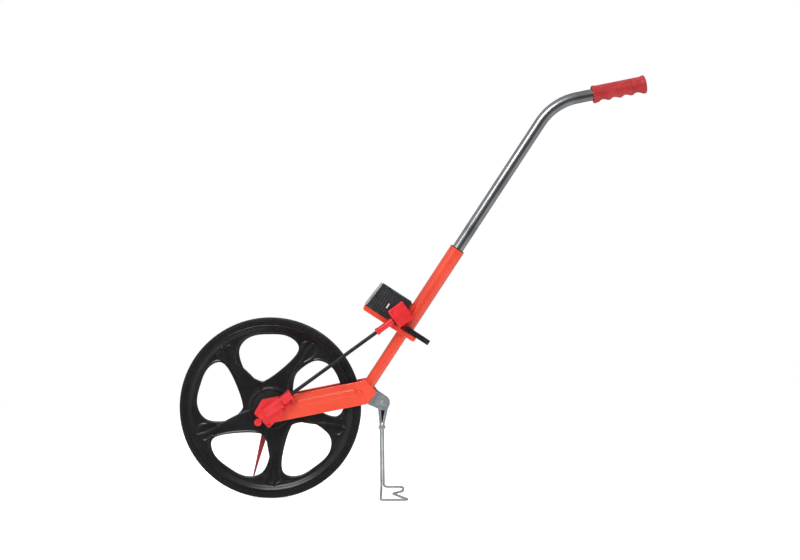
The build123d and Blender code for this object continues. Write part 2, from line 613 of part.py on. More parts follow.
def across_along(x, z):
    """A side-view point, as distances across and along the tube."""
    a = radians(TUBE_ANGLE)
    x, z = x - TUBE_FOOT[0], z - TUBE_FOOT[1]
    return x * sin(a) - z * cos(a), x * cos(a) + z * sin(a)


def train_line():
    """The input axis and the direction from it through the idler to the drums."""
    at = rod_point(UPPER_APEX)
    start = Vector(*across_along(at.X, at.Z))
    return start, (Vector(*DRUM_AIM) - start).normalized()


def drum_centre():
    start, way = train_line()
    centre = start + way * (SPUR_MODULE * (INPUT_TEETH + 2 * IDLER_TEETH + DRUM_TEETH) / 2)
    return centre.X, centre.Y


def make_upper_housing():
    """The crimson block on the counter's side, over the upper bevel pair, with the rod's collar."""
    corner = RectangleRounded(2 * HOUSING_HALF, 35.0, 2.0)
    block = rod_slab(Pos(HOUSING_MID, 0.5) * corner, HOUSING_NEAR, -COUNTER_HALF)
    block = chamfer(block.faces().sort_by(Axis.Y)[0].edges(), 1.2)
    collar = along_rod(HOUSING_COLLAR, 270.0, 5.6)
    collar += along_rod(HOUSING_COLLAR, HOUSING_COLLAR + 5, 6.3)
    foot = rod_slab(box_at(250, 270, -5.6, 5.6), ROD_Y, -COUNTER_HALF)
    room = rod_slab(Pos(HOUSING_MID, 0.5) * Rectangle(2 * HOUSING_HALF - 4.4, 30.0), HOUSING_NEAR + 2.2, 0)
    housing = block + collar + foot - room
    for along, side in housing_screw_places():
        housing += rod_slab(Pos(along, side) * Circle(3.4), HOUSING_NEAR + 1, -COUNTER_HALF)
        housing -= rod_slab(Pos(along, side) * Circle(HOUSING_SCREW_R), -60, 0)
    apex = rod_point(UPPER_APEX)
    housing -= along_rod(225.0, 262.0, UPPER_BUSH_R) + along_rod(262.0, 275.0, ROD_R + 0.4)
    housing -= y_bar(apex.X, apex.Z, -26.0, 0, 8.0)
    housing -= along_rod(266.0, 292.5, 7.9)
    save("upper_gear_housing", housing)
    tip = -COUNTER_HALF + 1.4
    screws = [screw(x, z, HOUSING_NEAR, tip, HOUSING_SCREW_R, 3.0, 1.5) for x, z in housing_screw_points()]
    save("housing_screws", Compound(children=screws))


def housing_screw_places():
    """Along the rod and square to it."""
    return [(HOUSING_MID - 11.0, 12.6), (HOUSING_MID + 11.0, 12.6)]


def housing_screw_points():
    a = radians(ROD_ANGLE)
    return [
        (along * cos(a) - side * sin(a), AXLE_Z + along * sin(a) + side * cos(a))
        for along, side in housing_screw_places()
    ]


def make_drums():
    axis = tube_point(*drum_centre())
    save("drum_shaft", y_bar(axis.X, axis.Z, -COUNTER_HALF + 0.2, COUNTER_HALF - 0.2, DRUM_SHAFT_R))
    for place in range(DRUMS):
        high = DRUM_START - place * DRUM_PITCH
        low = high - DRUM_PITCH + 0.4
        drum = y_bar(axis.X, axis.Z, low, high, DRUM_R, DRUM_SHAFT_R + RUN_GAP)
        drum -= y_bar(axis.X, axis.Z, high - 1.2, high, DRUM_R - 2.2, 5.0)
        save(f"digit_drum_{place + 1}", drum)


# ---- reset lever --------------------------------------------------------------------------
def make_reset_lever():
    across, along = LEVER_PIVOT
    blade = box_at(across, LEVER_END, along - LEVER_HALF, along + LEVER_HALF)
    blade = fillet(blade.vertices().sort_by(Axis.X)[-2:], 1.2) + Pos(across, along) * Circle(LEVER_HALF)
    lever = tube_slab(blade, LEVER_NEAR, LEVER_FAR)
    lever = chamfer(lever.faces().sort_by(Axis.Y)[0].edges(), 0.8)
    for ridge in range(4):
        low = LEVER_END - 10.0 + ridge * 2.4
        lever -= tube_slab(box_at(low, low + 0.9, along - 10, along + 10), LEVER_NEAR - 0.5, LEVER_NEAR + 0.6)
    pin = tube_point(across, along)
    save("reset_lever", lever - y_bar(pin.X, pin.Z, -30, 0, LEVER_PIN_R + RUN_GAP))
    pivot = y_bar(pin.X, pin.Z, -25.4, -14.0, LEVER_PIN_R) + y_bar(pin.X, pin.Z, -26.6, -25.4, 3.9)
    save("reset_pivot", pivot)
    coil = Helix(pitch=0.95, height=2.0, radius=2.75)
    wire = sweep(Plane(origin=coil @ 0, z_dir=coil % 0) * Circle(0.35), path=coil)
    turned = Plane(origin=(pin.X, LEVER_NEAR - 0.45, pin.Z), z_dir=(0, -1, 0))
    save("reset_spring", turned * wire)


# ---- stand --------------------------------------------------------------------------------
def make_stand_bracket():
    """A folded clevis on the fork's rear edge, with its bolt and nut."""
    x, z = STAND_PIVOT
    across, along = across_along(x, z)
    eye = Pos(across, along) * Circle(12.0)
    root = box_at(*BRACKET_ROOT, -131.0, -103.5)
    ear = make_hull((eye + root).edges())
    clevis = tube_slab(root, -15.5, 15.5) + tube_slab(ear, -BRACKET_OUTER, -BRACKET_GAP)
    clevis += tube_slab(ear, BRACKET_GAP, BRACKET_OUTER)
    save("stand_bracket", clevis - y_bar(x, z, -40, 40, BOLT_R))
    nut_end = BRACKET_OUTER + 4.4
    head = y_bar(x, z, -BRACKET_OUTER - 3.6, -BRACKET_OUTER, 6.4)
    head = fillet(head.edges().filter_by(GeomType.CIRCLE).sort_by(Axis.Y)[0], 3.0)
    save("stand_bolt", y_bar(x, z, -BRACKET_OUTER, nut_end, BOLT_R) + head)
    nut = slab(RegularPolygon(5.8, 6) - Circle(BOLT_R), BRACKET_OUTER, nut_end, 0, x, z)
    save("stand_nut", nut)


def make_stand_wire():
    """One bent wire: over the pivot, pinched at the crimp, splayed to the far side, then the foot."""
    x, z = STAND_PIVOT
    low = WIRE_R
    front, rear = x - 4.1, x + 0.4
    near, far = FOOT_NEAR, FOOT_FAR
    marks = [
        ((front, 26, low), 0), ((front, near, low), 6), ((x + 46, near, low), 4.5), ((x + 17, 21, low), 4),
        ((x + 35, 43, low), 7), ((x + 36, far, low), 9), ((rear, far, low), 6), ((rear - 0.1, 0, 127), 20),
        ((x + 6.7, 0, 158), 20), ((x + 6.7, 0, z + 6.7), 6.5), ((x - 6.7, 0, z + 6.7), 6.5),
        ((x - 6.7, 0, 158), 20), ((front - 0.1, 0, 127), 20), ((front, far, low), 6), ((front, 26.6, low), 0),
    ]
    route = FilletPolyline(*[m for m, r in marks], radius=[r for m, r in marks[1:-1]])
    wire = sweep(Plane(origin=route @ 0, z_dir=route % 0) * Circle(WIRE_R), path=route)
    save("stand_wire", wire)
    wedge = Polygon((-4.3, 1), (4.3, 1), (4.2, -10), (-0.9, -35), (-2.5, -35), (-4.2, -10), align=None)
    spreader = slab(wedge, -3.0, 3.0, 0, x, z) + y_bar(x, z, -3.0, 3.0, 4.45)
    save("stand_spreader", spreader - y_bar(x, z, -10, 10, BOLT_R + RUN_GAP))
    clip = box_at(-8.2, 4.6, -45.5, -41.0)
    band = slab(fillet(clip.vertices(), 1.0), -2.9, 2.9, 0, x, z)
    save("stand_crimp", band - wire)


make_tyre()
make_wheel()
make_axle()
make_bevel_gears()
make_rod()
make_hub_gearbox()
make_fork()
make_fork_fittings()
make_pointer()
make_tubes()
make_handle()
make_grip()
make_counter_shell()
make_bezel()
make_counter_plate()
make_counter_train()
make_drums()
make_upper_housing()
make_reset_lever()
make_stand_bracket()
make_stand_wire()
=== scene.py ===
import json
from math import atan2, cos, pi, radians, sin, sqrt

import bmesh
import bpy
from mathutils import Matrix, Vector

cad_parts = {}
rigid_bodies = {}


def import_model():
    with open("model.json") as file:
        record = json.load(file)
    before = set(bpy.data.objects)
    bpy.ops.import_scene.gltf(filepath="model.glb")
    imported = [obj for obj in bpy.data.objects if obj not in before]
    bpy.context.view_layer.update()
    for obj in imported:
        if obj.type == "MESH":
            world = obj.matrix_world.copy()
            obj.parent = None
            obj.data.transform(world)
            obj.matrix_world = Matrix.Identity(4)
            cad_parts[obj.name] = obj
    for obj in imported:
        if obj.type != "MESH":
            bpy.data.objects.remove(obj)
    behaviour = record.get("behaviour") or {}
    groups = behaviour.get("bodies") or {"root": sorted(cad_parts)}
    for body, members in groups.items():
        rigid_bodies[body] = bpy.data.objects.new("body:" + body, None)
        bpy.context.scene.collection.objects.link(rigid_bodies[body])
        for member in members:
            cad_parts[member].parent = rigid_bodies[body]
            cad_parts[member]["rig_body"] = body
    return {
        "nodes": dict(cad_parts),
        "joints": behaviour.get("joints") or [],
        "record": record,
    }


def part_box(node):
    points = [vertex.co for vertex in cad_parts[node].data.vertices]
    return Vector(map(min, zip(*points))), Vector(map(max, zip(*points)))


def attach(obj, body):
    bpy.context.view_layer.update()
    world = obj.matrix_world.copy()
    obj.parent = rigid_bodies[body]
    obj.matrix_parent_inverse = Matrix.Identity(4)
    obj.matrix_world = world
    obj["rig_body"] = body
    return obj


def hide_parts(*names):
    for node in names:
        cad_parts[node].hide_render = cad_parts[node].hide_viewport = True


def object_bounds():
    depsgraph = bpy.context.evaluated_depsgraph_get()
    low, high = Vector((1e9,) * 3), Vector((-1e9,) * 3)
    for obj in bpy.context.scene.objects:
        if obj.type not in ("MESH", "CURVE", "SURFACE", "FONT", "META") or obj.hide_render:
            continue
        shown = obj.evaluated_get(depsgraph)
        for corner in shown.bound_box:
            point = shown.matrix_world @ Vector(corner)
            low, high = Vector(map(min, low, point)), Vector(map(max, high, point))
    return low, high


# Measuring wheel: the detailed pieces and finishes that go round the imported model.
# Metres, in the model's own frame: +Z up, +X towards the handle, -Y the gear side.

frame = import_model()
CAD_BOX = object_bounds()

MM = 0.001
NODES = frame["nodes"]
JOINTS = {joint["name"]: joint for joint in frame["joints"]}
SIDE = Vector((0, 1, 0))
AXLE = Vector(JOINTS["wheel_spin"]["pos_m"])
DRUM_AXIS = Vector(JOINTS["drum_1_spin"]["pos_m"])
ALONG_TUBE = Vector(JOINTS["handle_slide"]["axis"]).normalized()
ACROSS_TUBE = SIDE.cross(ALONG_TUBE)
HANDLE_ANGLE = radians(11.3)
ALONG_HANDLE = Vector((cos(HANDLE_ANGLE), 0, sin(HANDLE_ANGLE)))
ABOVE_HANDLE = Vector((-sin(HANDLE_ANGLE), 0, cos(HANDLE_ANGLE)))


# ---- finishes -----------------------------------------------------------------------------
OPEN_FACE = 0.97            # cosines between a face and its rounded surroundings
SHARP_EDGE = 0.82
RUB_WIDTH = 0.6 * MM        # how far an edge's rubbed strip reaches


class Finish:
    """One procedural material. Its patterns are laid out in the object's own space."""

    def __init__(self, name, **inputs):
        self.material = bpy.data.materials.new(name)
        self.material.use_nodes = True
        self.tree = self.material.node_tree
        self.shader = self.tree.nodes["Principled BSDF"]
        self.place = self.node("ShaderNodeTexCoord").outputs["Object"]
        for socket, value in inputs.items():
            self.shader.inputs[socket.replace("_", " ")].default_value = value

    def node(self, kind, **settings):
        made = self.tree.nodes.new(kind)
        for name, value in settings.items():
            setattr(made, name, value)
        return made

    def join(self, source, socket):
        self.tree.links.new(source, socket)

    def noise(self, scale, detail=3.0, stretch=None, turn=0.0):
        """Soft noise of about 1 / scale metres, drawn out along axes where stretch is small."""
        place = self.place
        if stretch:
            mapping = self.node("ShaderNodeMapping")
            turned = self.node("ShaderNodeMapping")
            turned.inputs["Rotation"].default_value = (0, turn, 0)
            self.join(place, turned.inputs["Vector"])
            self.join(turned.outputs["Vector"], mapping.inputs["Vector"])
            mapping.inputs["Scale"].default_value = stretch
            place = mapping.outputs["Vector"]
        texture = self.node("ShaderNodeTexNoise")
        texture.inputs["Scale"].default_value = scale
        texture.inputs["Detail"].default_value = detail
        self.join(place, texture.inputs["Vector"])
        return texture.outputs["Fac"]

    def cells(self, scale):
        """Cells of about 1 / scale metres, each with its own random colour."""
        texture = self.node("ShaderNodeTexVoronoi")
        texture.inputs["Scale"].default_value = scale
        self.join(self.place, texture.inputs["Vector"])
        return texture.outputs["Color"]

    def distance(self, source, middle):
        """Distance in metres of a position socket from a fixed point."""
        node = self.node("ShaderNodeVectorMath", operation="DISTANCE")
        node.inputs[1].default_value = middle
        self.join(source, node.inputs[0])
        return node.outputs["Value"]

    def remap(self, value, low, high, new_low=0.0, new_high=1.0):
        """Stretches low..high to new_low..new_high, cut off at both ends."""
        node = self.node("ShaderNodeMapRange")
        node.inputs["From Min"].default_value = low
        node.inputs["From Max"].default_value = high
        node.inputs["To Min"].default_value = new_low
        node.inputs["To Max"].default_value = new_high
        self.join(value, node.inputs["Value"])
        return node.outputs["Result"]

    def maths(self, operation, first, second):
        node = self.node("ShaderNodeMath", operation=operation)
        for socket, value in zip(node.inputs, (first, second)):
            if isinstance(value, (int, float)):
                socket.default_value = value
            else:
                self.join(value, socket)
        return node.outputs["Value"]

    def blend(self, factor, first, second):
        """A colour between two, each given as a colour or as a socket."""
        node = self.node("ShaderNodeMix", data_type="RGBA")
        self.join(factor, node.inputs["Factor"])
        for socket, value in ((node.inputs[6], first), (node.inputs[7], second)):
            if isinstance(value, tuple):
                socket.default_value = (*value, 1.0)
            else:
                self.join(value, socket)
        return node.outputs[2]

    def edges(self, radius):
        """1 where the surface bends sharply within the radius, fading to 0 on open faces."""
        bevel = self.node("ShaderNodeBevel", samples=4)
        bevel.inputs["Radius"].default_value = radius
        plain = self.node("ShaderNodeNewGeometry").outputs["Normal"]
        dot = self.node("ShaderNodeVectorMath", operation="DOT_PRODUCT")
        self.join(bevel.outputs["Normal"], dot.inputs[0])
        self.join(plain, dot.inputs[1])
        return self.remap(dot.outputs["Value"], OPEN_FACE, SHARP_EDGE)

    def colour(self, value):
        self.join(value, self.shader.inputs["Base Color"])

    def roughness(self, value):
        self.join(value, self.shader.inputs["Roughness"])

    def relief(self, height, depth, strength=1.0):
        """A bump of a depth in metres."""
        bump = self.node("ShaderNodeBump")
        bump.inputs["Distance"].default_value = depth
        bump.inputs["Strength"].default_value = strength
        self.join(height, bump.inputs["Height"])
        self.join(bump.outputs["Normal"], self.shader.inputs["Normal"])


def mottled(name, dark, light, rough, spread, grain, grain_depth=8e-6, worn=None, **inputs):
    """Paint or moulded plastic: two close tones in soft patches, a fine grain and rubbed edges."""
    finish = Finish(name, **inputs)
    tone = finish.remap(finish.noise(spread, 4), 0.35, 0.65)
    colour = finish.blend(tone, dark, light)
    scuff = finish.noise(spread * 12, 6)
    if worn:
        rub = finish.maths("MULTIPLY", finish.edges(RUB_WIDTH), finish.remap(scuff, 0.42, 0.68))
        colour = finish.blend(rub, colour, worn)
    finish.colour(colour)
    finish.roughness(finish.remap(scuff, 0.3, 0.75, rough * 0.85, rough * 1.2))
    finish.relief(finish.noise(grain, 2), grain_depth)
    return finish.material


def metal(name, dark, light, rough, stretch, turn=0.0, scratch=2600.0, spread=22.0):
    """Bare or plated metal: patches of two tones, fine marks drawn out where stretch is small."""
    finish = Finish(name, Metallic=1.0)
    patch = finish.remap(finish.noise(spread, 5), 0.34, 0.66)
    finish.colour(finish.blend(patch, dark, light))
    marks = finish.noise(scratch, 3, stretch, turn)
    finish.roughness(finish.remap(marks, 0.25, 0.8, rough * 0.65, rough * 1.5))
    finish.relief(marks, 3e-6, 0.5)
    return finish.material


def zinc_plate():
    """Bright zinc plating with a faint spangle and grey handling marks."""
    finish = Finish("zinc_plate", Metallic=0.6)
    spangle = finish.node("ShaderNodeSeparateColor")
    finish.join(finish.cells(260), spangle.inputs["Color"])
    tone = finish.maths("MULTIPLY", spangle.outputs["Red"], 0.5)
    tone = finish.maths("ADD", tone, finish.remap(finish.noise(70, 5), 0.3, 0.7, 0.0, 0.5))
    finish.colour(finish.blend(tone, (0.33, 0.37, 0.40), (0.58, 0.62, 0.65)))
    finish.roughness(finish.remap(spangle.outputs["Green"], 0, 1, 0.3, 0.5))
    finish.relief(finish.noise(1500, 3), 3e-5, 0.6)
    return finish.material


def rubber():
    """Tyre rubber: matt black, greyed by dust on the tread and in patches."""
    finish = Finish("rubber", Specular_IOR_Level=0.25)
    flat = finish.node("ShaderNodeVectorMath", operation="MULTIPLY")
    finish.join(finish.place, flat.inputs[0])
    flat.inputs[1].default_value = (1, 0, 1)
    reach = finish.distance(flat.outputs["Vector"], (AXLE.x, 0, AXLE.z))
    outer = finish.remap(reach, AXLE.z - 2.5 * MM, AXLE.z)
    dust = finish.maths("MULTIPLY", outer, finish.remap(finish.noise(60, 6), 0.35, 0.75, 0.25, 1.0))
    base = finish.blend(finish.noise(35, 4), (0.008, 0.008, 0.009), (0.017, 0.017, 0.019))
    finish.colour(finish.blend(dust, base, (0.075, 0.072, 0.068)))
    finish.roughness(finish.remap(finish.noise(240, 5), 0.3, 0.7, 0.62, 0.85))
    finish.relief(finish.noise(900, 3), 3e-5)
    return finish.material


def clear_plastic():
    """A thin clear window with a faint haze that gathers in patches."""
    finish = Finish("clear_plastic", IOR=1.46)
    haze = finish.noise(90, 3)
    finish.colour(finish.blend(haze, (0.80, 0.83, 0.85), (0.90, 0.92, 0.93)))
    finish.roughness(finish.remap(finish.noise(400, 4), 0.4, 0.8, 0.04, 0.12))
    finish.join(finish.remap(haze, 0.3, 0.7, 0.10, 0.18), finish.shader.inputs["Alpha"])
    return finish.material


def bright_trim():
    """Bright metallised plastic with dark spots painted in as reflections of its darker surroundings.
    """
    finish = Finish("bright_trim", Metallic=0.3)
    # painted reflections: dark noise spots in the colour stand in for the surroundings that the bright
    # strip mirrors
    painted_reflection_spots = finish.remap(finish.noise(120, 2), 0.52, 0.66)
    finish.colour(finish.blend(painted_reflection_spots, (0.60, 0.60, 0.59), (0.42, 0.43, 0.43)))
    finish.roughness(finish.remap(finish.noise(700, 4), 0.3, 0.7, 0.40, 0.56))
    finish.relief(finish.noise(400, 3), 2e-5)
    return finish.material


TUBE_TURN = atan2(ALONG_TUBE.z, ALONG_TUBE.x)
FINISHES = {
    "frame_paint": mottled(
        "frame_paint", (0.80, 0.052, 0.020), (0.92, 0.082, 0.036), 0.34, spread=14, grain=420,
        grain_depth=3e-6, worn=(0.93, 0.26, 0.19), Coat_Weight=0.8, Coat_Roughness=0.10,
    ),
    "gearbox_plastic": mottled(
        "gearbox_plastic", (0.72, 0.016, 0.020), (0.85, 0.030, 0.036), 0.34, spread=60, grain=500,
        grain_depth=4e-6, worn=(0.92, 0.14, 0.13), Coat_Weight=0.15, Coat_Roughness=0.25,
    ),
    "grip_vinyl": mottled(
        "grip_vinyl", (0.44, 0.020, 0.024), (0.56, 0.036, 0.040), 0.46, spread=45, grain=900,
        grain_depth=3e-6,
    ),
    "wheel_plastic": mottled(
        "wheel_plastic", (0.0065, 0.0065, 0.0075), (0.013, 0.013, 0.015), 0.32, spread=26, grain=500,
        grain_depth=2e-6, worn=(0.05, 0.05, 0.054), Coat_Weight=0.5, Coat_Roughness=0.22,
    ),
    "counter_black": mottled(
        "counter_black", (0.020, 0.022, 0.025), (0.040, 0.043, 0.048), 0.36, spread=50, grain=900,
        worn=(0.10, 0.10, 0.11),
    ),
    "rod_black": mottled(
        "rod_black", (0.010, 0.010, 0.011), (0.020, 0.020, 0.022), 0.38, spread=60, grain=1200,
        worn=(0.09, 0.09, 0.095),
    ),
    "black_nylon": mottled(
        "black_nylon", (0.007, 0.007, 0.008), (0.014, 0.014, 0.015), 0.5, spread=80, grain=1600,
        worn=(0.05, 0.05, 0.05),
    ),
    "pointer_red": mottled(
        "pointer_red", (0.36, 0.014, 0.022), (0.46, 0.026, 0.034), 0.4, spread=50, grain=900,
        worn=(0.60, 0.12, 0.12),
    ),
    "drum_white": mottled(
        "drum_white", (0.72, 0.72, 0.69), (0.82, 0.82, 0.80), 0.45, spread=120, grain=2000,
        worn=(0.55, 0.55, 0.52),
    ),
    "gear_nylon": mottled(
        "gear_nylon", (0.70, 0.68, 0.60), (0.80, 0.78, 0.71), 0.42, spread=150, grain=1800,
        worn=(0.60, 0.58, 0.50), Subsurface_Weight=0.1,
    ),
    "digit_ink": mottled(
        "digit_ink", (0.006, 0.006, 0.006), (0.014, 0.014, 0.014), 0.5, spread=300, grain=2500,
    ),
    "tyre_rubber": rubber(),
    "chrome_tube": metal(
        "chrome_tube", (0.36, 0.37, 0.39), (0.56, 0.57, 0.60), 0.25, (0.04, 1, 1), turn=TUBE_TURN,
        scratch=1500, spread=30,
    ),
    "steel": metal(
        "steel", (0.42, 0.43, 0.44), (0.64, 0.65, 0.66), 0.28, (1, 0.08, 1), scratch=2400, spread=80,
    ),
    "spring_steel": metal("spring_steel", (0.30, 0.30, 0.31), (0.48, 0.48, 0.49), 0.3, (1, 1, 0.2)),
    "bush_bronze": metal("bush_bronze", (0.42, 0.26, 0.12), (0.60, 0.40, 0.20), 0.34, (1, 0.1, 1)),
    "zinc": zinc_plate(),
    "counter_clear": clear_plastic(),
    "bezel_bright": bright_trim(),
}


# ---- mesh helpers -------------------------------------------------------------------------
RIDGE_SIDES = 10            # round a moulded rib
RING_SIDES = 8              # and round a ring at the hub


def new_piece(name, mesh):
    piece = bpy.data.objects.new(name, mesh)
    bpy.context.scene.collection.objects.link(piece)
    return piece


def apply_modifiers(piece):
    graph = bpy.context.evaluated_depsgraph_get()
    mesh = bpy.data.meshes.new_from_object(piece.evaluated_get(graph))
    piece.modifiers.clear()
    piece.data = mesh


def dress(piece, slot, body, *replaced):
    """Finish, body, slot and the CAD nodes that the piece stands for."""
    piece.data.materials.clear()
    piece.data.materials.append(FINISHES[slot])
    for face in piece.data.polygons:
        face.use_smooth = True
    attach(piece, body)
    if replaced:
        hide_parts(*replaced)
    return piece


def slot_of(node):
    return next(part["material_slot"] for part in frame["record"]["subparts"] if part["node"] == node)


def mesh_from(name, points, faces):
    mesh = bpy.data.meshes.new(name)
    mesh.from_pydata([tuple(point) for point in points], [], faces)
    mesh.validate()
    tidy = bmesh.new()
    tidy.from_mesh(mesh)
    bmesh.ops.recalc_face_normals(tidy, faces=tidy.faces)
    tidy.to_mesh(mesh)
    tidy.free()
    return mesh


def circle(middle, radius, first, second, count):
    """Points round a circle that starts along first and turns towards second."""
    angles = [2 * pi * k / count for k in range(count)]
    return [middle + radius * (cos(a) * first + sin(a) * second) for a in angles]


def skin(rings, closed=False):
    """Faces over rings of equal length; closed also joins the last ring to the first."""
    count = len(rings[0])
    points = [point for ring in rings for point in ring]
    faces = []
    for row in range(len(rings) if closed else len(rings) - 1):
        after = (row + 1) % len(rings)
        for k in range(count):
            step = (k + 1) % count
            faces.append((row * count + k, row * count + step, after * count + step, after * count + k))
    return points, faces


def capped(rings):
    """A tube of rings with a fan of faces at each end."""
    points, faces = skin(rings)
    count = len(rings[0])
    for first, ring in ((0, rings[0]), (len(points) - count, rings[-1])):
        points.append(sum(ring, Vector()) / count)
        faces += [(first + k, first + (k + 1) % count, len(points) - 1) for k in range(count)]
    return points, faces


def ridge(path, radius):
    """A round rib along a list of points, with closed ends."""
    rings = []
    for k, point in enumerate(path):
        way = (path[min(k + 1, len(path) - 1)] - path[max(k - 1, 0)]).normalized()
        across = way.cross(SIDE).normalized()
        rings.append(circle(point, radius, across, across.cross(way), RIDGE_SIDES))
    return capped(rings)


def soften(node, voxel, rounds, extra=()):
    """Replaces a CAD node by a copy with rounded edges, melted together with any extra forms.

    The voxel is in metres, and more rounds of smoothing make rounder edges.
    """
    mesh = NODES[node].data.copy()
    piece = new_piece(f"{node}_moulded", mesh)
    grown = bmesh.new()
    grown.from_mesh(mesh)
    for points, faces in extra:
        added = [grown.verts.new(point) for point in points]
        for face in faces:
            grown.faces.new([added[k] for k in face])
    bmesh.ops.remove_doubles(grown, verts=grown.verts, dist=1e-6)
    grown.to_mesh(mesh)
    grown.free()
    remesh = piece.modifiers.new("remesh", "REMESH")
    remesh.mode = "VOXEL"
    remesh.voxel_size = voxel
    smooth = piece.modifiers.new("smooth", "SMOOTH")
    smooth.iterations = rounds
    apply_modifiers(piece)
    return dress(piece, slot_of(node), NODES[node]["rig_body"], node)


# ---- wheel --------------------------------------------------------------------------------
SPOKES = 5
RADIUS = AXLE.z
PATH_STEPS = 8
# Ribs on the wheel's faces, as (share of the radius, degrees) marks on the first spoke.
ARCH = ((0.60, 126.5), (0.72, 122.0), (0.815, 122.5), (0.852, 128.5), (0.815, 134.5), (0.70, 134.0))
SEAM = ((0.30, 122.5), (0.42, 127.5), (0.56, 129.5), (0.70, 128.5))
TICK_ANGLES = (70.0, 91.0, 112.0)
TICK_SHARES = (0.825, 0.85, 0.875)
HUB_RINGS = (0.155, 0.215)
# Height of each form's middle from the wheel's middle plane, and its radius.
ARCH_FORM = (4.3 * MM, 1.9 * MM)
SEAM_FORM = (4.2 * MM, 1.2 * MM)
TICK_FORM = (4.6 * MM, 1.2 * MM)
HUB_RING_FORM = (6.6 * MM, 1.3 * MM)


def wheel_point(share, angle, y):
    a = radians(angle)
    return AXLE + Vector((share * RADIUS * cos(a), y, share * RADIUS * sin(a)))


def smooth_path(corners):
    """A Catmull-Rom curve through a list of points."""
    corners = [2 * corners[0] - corners[1]] + corners + [2 * corners[-1] - corners[-2]]
    path = []
    for k in range(1, len(corners) - 2):
        a, b, c, d = corners[k - 1:k + 3]
        for step in range(PATH_STEPS):
            t = step / PATH_STEPS
            curve = 2 * b + (c - a) * t
            curve += (2 * a - 5 * b + 4 * c - d) * t**2
            curve += (3 * b - a - 3 * c + d) * t**3
            path.append(0.5 * curve)
    return path + [corners[-2]]


def wheel_details():
    """Moulded forms on both faces: an arch and a seam on each spoke, rim ticks, rings round the hub."""
    forms = []
    for face in (-1, 1):
        for spoke in range(SPOKES):
            turn = spoke * 360 / SPOKES
            for marks, (height, radius) in ((ARCH, ARCH_FORM), (SEAM, SEAM_FORM)):
                corners = [wheel_point(share, angle + turn, face * height) for share, angle in marks]
                forms.append(ridge(smooth_path(corners), radius))
            height, radius = TICK_FORM
            for tick in TICK_ANGLES:
                path = [wheel_point(share, tick + turn, face * height) for share in TICK_SHARES]
                forms.append(ridge(path, radius))
        height, radius = HUB_RING_FORM
        for share in HUB_RINGS:
            sections = []
            for angle in range(0, 360, 5):
                point = wheel_point(share, angle, face * height)
                sections.append(circle(point, radius, (point - AXLE).normalized(), SIDE, RING_SIDES))
            forms.append(skin(sections, closed=True))
    return forms


# Half of the tyre's section in millimetres: distance from its middle plane, depth below the crown.
TREAD = (
    (0.0, 1.1), (0.7, 1.1), (1.0, 0.0), (3.6, 0.0), (3.9, 1.0), (4.7, 1.0), (5.0, 0.0), (6.2, 0.1),
    (7.8, 0.7), (9.2, 1.9), (10.2, 3.6), (10.7, 5.6), (10.75, 6.9), (10.2, 7.2), (10.2, 7.7),
    (10.95, 8.0), (10.8, 9.9),
)
SEAT_RADIUS = 147.65 * MM
SEAT_HALF = 9.9 * MM
# The tongue that sits in the rim's groove: half widths at its root and tip, and the tip's radius.
TONGUE_ROOT = 3.1 * MM
TONGUE_TIP = 2.1 * MM
TONGUE_RADIUS = 144.8 * MM
NOTCHES = 120
NOTCH_STEPS = 5
NOTCH_DEPTH = 0.7 * MM
SHOULDER = (5.6 * MM, 9.6 * MM)     # the part of each half that is notched


def tyre_section():
    """The tyre's whole closed section, as (Y, radius) points."""
    half = [(y * MM, RADIUS - depth * MM) for y, depth in TREAD] + [(SEAT_HALF, SEAT_RADIUS)]
    mirrored = [(-y, r) for y, r in reversed(half[1:])]
    tongue = [(-TONGUE_ROOT, SEAT_RADIUS), (-TONGUE_TIP, TONGUE_RADIUS)]
    tongue += [(TONGUE_TIP, TONGUE_RADIUS), (TONGUE_ROOT, SEAT_RADIUS)]
    return half + mirrored + tongue


def make_tyre():
    """The tread: a crown with three grooves, notched shoulders and a line round each side wall."""
    section = tyre_section()
    rings = []
    for step in range(NOTCHES * NOTCH_STEPS):
        a = 2 * pi * step / (NOTCHES * NOTCH_STEPS)
        ring = []
        for y, r in section:
            on_shoulder = SHOULDER[0] < abs(y) < SHOULDER[1] and r > RADIUS - 3 * MM
            if on_shoulder and step % NOTCH_STEPS == 0:
                r -= NOTCH_DEPTH
            ring.append(AXLE + Vector((r * cos(a), y, r * sin(a))))
        rings.append(ring)
    mesh = mesh_from("tyre_tread", *skin(rings, closed=True))
    dress(new_piece("tyre_tread", mesh), "tyre_rubber", "wheel", "tyre")


# ---- grip ---------------------------------------------------------------------------------
GRIP_LENGTH = 93.4 * MM
GRIP_RADIUS = 14.6 * MM
GRIP_AROUND = 72
GRIP_STEPS = 190
TUBE_RADIUS = 10.0 * MM
BORE_RADIUS = 10.02 * MM
BORE_GAP = 0.02 * MM
END_WALL = 4.4 * MM         # how far the grip reaches past the tube's end
COLLAR = (6.5 * MM, 1.0 * MM)       # length and height of the swelling at the inner end
FLARE = (9.0 * MM, 1.5 * MM)        # and of the one at the outer end
INNER_EDGE = (1.5 * MM, 1.3 * MM)   # length and drop of each end's rounded edge
OUTER_EDGE = (3.0 * MM, 3.0 * MM)
RIBS = (32.0 * MM, 74.0 * MM)       # the ribs lie between these two, and fade over RIB_FADE
RIB_FADE = 3.0 * MM
RIB_STEP = 3.8 * MM
RIB_DEPTH = 0.9 * MM
RIB_SIDE = 0.25             # sine of the angle from the top at which they start
RIB_FULL = 0.3              # how much further they are at full depth
RIB_FOOT = -0.5             # cosine of the angle at which they stop, above the scallops
SCALLOPS = [(17.5 + 20.0 * finger) * MM for finger in range(4)]
SCALLOP_RADIUS = 11.5 * MM
SCALLOP_DROP = GRIP_RADIUS + 8.0 * MM
SCALLOP_BLEND = 1.0 * MM


